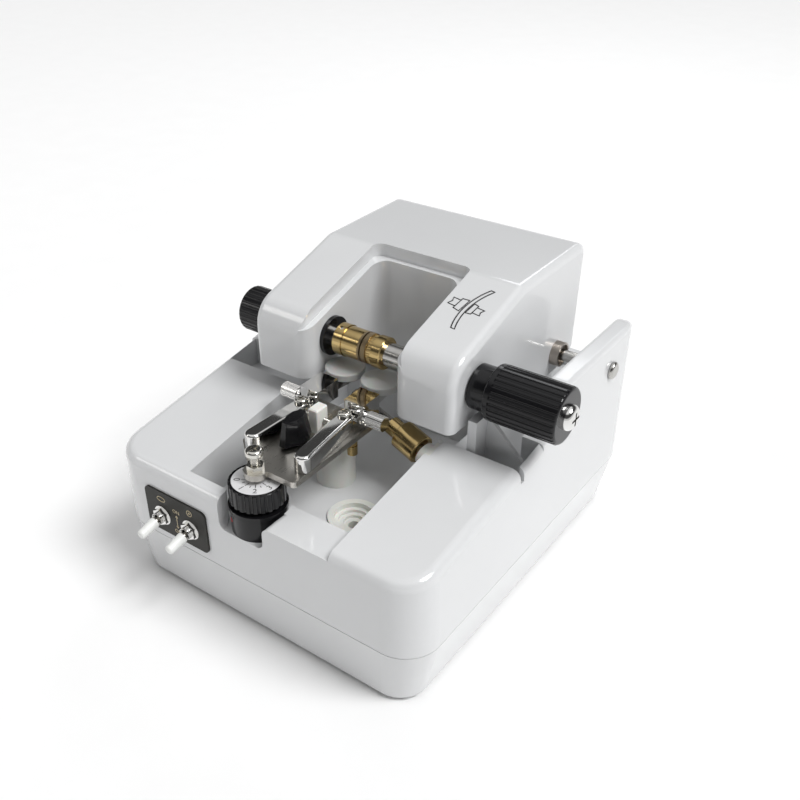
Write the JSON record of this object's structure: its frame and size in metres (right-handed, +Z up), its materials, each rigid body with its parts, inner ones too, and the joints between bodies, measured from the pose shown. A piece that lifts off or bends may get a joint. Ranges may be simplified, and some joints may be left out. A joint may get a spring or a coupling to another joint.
{
  "type": "lens groover",
  "caption": "Bench machine that cuts a groove round the edge of a spectacle lens: a hinged head turns the lens between two spindles over a small slanted grooving wheel.",
  "frame": {"origin": "centre of the lower housing's flat underside, 2.5 mm above what the feet stand on", "axes": "+X to the operator's right along the lens spindles, +Y from the operator to the rear, +Z up"},
  "size_m": [0.1963, 0.2272, 0.1456],
  "materials": {
    "white_shell": "smooth gloss moulding",
    "rubber_black": "matte rubber",
    "zinc_steel": "zinc-plated",
    "bright_steel": "ground",
    "chrome": "polished chrome plating",
    "plate_steel": "brushed stainless sheet",
    "brass": "turned brass",
    "black_plastic": "gloss black moulding",
    "panel_black": "printed satin plate",
    "dial_white": "printed white disc",
    "red_paint": "red index dot",
    "nylon_white": "natural nylon",
    "nylon_clear": "translucent nylon",
    "board_green": "circuit board",
    "core_metal": "varnished laminations and coil",
    "motor_metal": "plated can",
    "abrasive": "plated abrasive edge",
    "bearing_bronze": "sintered bronze"
  },
  "bodies": {
    "housing": {"base_tub": "white_shell", "rubber_feet": "rubber_black", "housing_screws": "zinc_steel", "top_shell": "white_shell", "drain_cup": "nylon_white", "transformer": "core_metal", "control_board": "board_green", "rear_sockets": "black_plastic", "dial_housing": "black_plastic", "index_dot": "red_paint", "switch_panel": "panel_black", "switch_bodies": "chrome", "switch_nuts": "chrome", "pivot_shaft": "bright_steel", "guide_pillar": "nylon_white", "guide_fork": "plate_steel", "wheel_bearing": "nylon_white", "wheel_motor": "motor_metal", "wheel_belt": "rubber_black"},
    "head": {"head_shell": "white_shell", "head_covers": "white_shell", "head_bushes": "bearing_bronze", "seal_rings": "black_plastic", "lens_motor": "motor_metal", "drive_belts": "rubber_black"},
    "left_lens_shaft": {"left_spindle": "bright_steel", "left_clamp": "brass", "left_pad": "rubber_black", "left_pulley": "nylon_white", "left_knob": "black_plastic"},
    "cross_shaft": {"cross_drive": "bright_steel"},
    "right_drive": {"right_pulley": "nylon_white"},
    "right_lens_shaft": {"right_spindle": "bright_steel", "right_clamp": "brass", "right_pad": "rubber_black", "right_knob": "black_plastic", "right_knob_screw": "chrome"},
    "dial": {"dial_knob": "black_plastic", "dial_face": "dial_white"},
    "plunger": {"dial_plunger": "bright_steel"},
    "guide": {"guide_plate": "plate_steel", "depth_screw": "zinc_steel", "brass_studs": "brass", "guide_wedge": "nylon_white", "arm_screws": "zinc_steel"},
    "left_guide_arm": {"left_arm": "chrome", "left_block": "chrome"},
    "right_guide_arm": {"right_arm": "chrome", "right_block": "chrome"},
    "left_guide_roller": {"left_roller": "nylon_clear"},
    "right_guide_roller": {"right_roller": "nylon_clear"},
    "left_adjusting_screw": {"left_adjuster": "chrome"},
    "right_adjusting_screw": {"right_adjuster": "chrome"},
    "selector": {"selector_lever": "black_plastic"},
    "lens_toggle": {"left_toggle": "nylon_white"},
    "wheel_toggle": {"right_toggle": "nylon_white"},
    "wheel": {"wheel_shaft": "bright_steel", "grooving_wheel": "abrasive", "wheel_chuck": "brass"},
    "wheel_motor_shaft": {"motor_pulley": "bright_steel"}
  },
  "joints": [
    {"name": "head_lift", "type": "hinge", "parent": "housing", "child": "head", "pos_m": [0, 0.07025, 0.091], "axis": [-1, 0, 0], "range_deg": [0, 40]},
    {"name": "lens_turn", "type": "hinge", "parent": "head", "child": "left_lens_shaft", "pos_m": [0, -0.00975, 0.1106], "axis": [1, 0, 0], "continuous": true},
    {"name": "cross_turn", "type": "hinge", "parent": "head", "child": "cross_shaft", "pos_m": [0, 0.062, 0.118], "axis": [1, 0, 0], "continuous": true},
    {"name": "right_lens_turn", "type": "hinge", "parent": "head", "child": "right_drive", "pos_m": [0, -0.00975, 0.1106], "axis": [1, 0, 0], "continuous": true},
    {"name": "clamp_slide", "type": "slide", "parent": "right_drive", "child": "right_lens_shaft", "axis": [1, 0, 0], "range_m": [0, 0.0115], "stiffness_N_per_m": 250, "springref_m": -0.004},
    {"name": "dial_turn", "type": "hinge", "parent": "housing", "child": "dial", "pos_m": [-0.005, -0.09, 0.07], "axis": [0, 0, 1], "range_deg": [0, 270]},
    {"name": "plunger_lift", "type": "slide", "parent": "housing", "child": "plunger", "axis": [0, 0, 1], "range_m": [0, 0.0012]},
    {"name": "guide_tilt", "type": "hinge", "parent": "housing", "child": "guide", "pos_m": [0, -0.037, 0.0788], "axis": [-1, 0, 0], "range_deg": [0, 1.3]},
    {"name": "left_arm_turn", "type": "hinge", "parent": "guide", "child": "left_guide_arm", "pos_m": [-0.0155, -0.0455, 0.089], "axis": [0, 0, 1], "range_deg": [0, 1.6], "stiffness_Nm_per_rad": 0.4, "springref_deg": -1.15},
    {"name": "right_arm_turn", "type": "hinge", "parent": "guide", "child": "right_guide_arm", "pos_m": [0.008, -0.0428, 0.089], "axis": [0, 0, -1], "range_deg": [0, 1.6]},
    {"name": "left_roller_turn", "type": "hinge", "parent": "left_guide_arm", "child": "left_guide_roller", "pos_m": [-0.0133, -0.014, 0.097], "axis": [0, 0, 1], "continuous": true},
    {"name": "right_roller_turn", "type": "hinge", "parent": "right_guide_arm", "child": "right_guide_roller", "pos_m": [0.0083, -0.014, 0.097], "axis": [0, 0, 1], "continuous": true},
    {"name": "left_adjuster_turn", "type": "hinge", "parent": "left_guide_arm", "child": "left_adjusting_screw", "pos_m": [-0.0203, -0.0385, 0.0916], "axis": [-1, 0, 0], "continuous": true},
    {"name": "right_adjuster_turn", "type": "hinge", "parent": "right_guide_arm", "child": "right_adjusting_screw", "pos_m": [0.0151, -0.0363, 0.0916], "axis": [1, 0, 0], "continuous": true},
    {"name": "selector_turn", "type": "hinge", "parent": "guide", "child": "selector", "pos_m": [-0.0045, -0.0635, 0.09], "axis": [0, 0, 1], "range_deg": [-12, 12]},
    {"name": "lens_switch", "type": "hinge", "parent": "housing", "child": "lens_toggle", "pos_m": [-0.0555, -0.10605, 0.0448], "axis": [-1, 0, 0], "range_deg": [0, 26]},
    {"name": "wheel_switch", "type": "hinge", "parent": "housing", "child": "wheel_toggle", "pos_m": [-0.0368, -0.10605, 0.0448], "axis": [-1, 0, 0], "range_deg": [0, 26]},
    {"name": "wheel_spin", "type": "hinge", "parent": "housing", "child": "wheel", "pos_m": [-0.0025, -0.0164, 0.0856], "axis": [0.9562, -0.1912, -0.2218], "continuous": true},
    {"name": "motor_spin", "type": "hinge", "parent": "housing", "child": "wheel_motor_shaft", "pos_m": [-0.00816, -0.01527, 0.06025], "axis": [0.9562, -0.1912, -0.2218], "continuous": true}
  ],
  "couplings": [
    {"joint": "cross_turn", "follows": "lens_turn", "ratio": 1},
    {"joint": "right_lens_turn", "follows": "lens_turn", "ratio": 1},
    {"joint": "plunger_lift", "follows": "dial_turn", "m_per_rad": 0.00025455},
    {"joint": "guide_tilt", "follows": "dial_turn", "ratio": 0.0048037},
    {"joint": "right_arm_turn", "follows": "left_arm_turn", "ratio": 1},
    {"joint": "motor_spin", "follows": "wheel_spin", "ratio": 1}
  ]
}
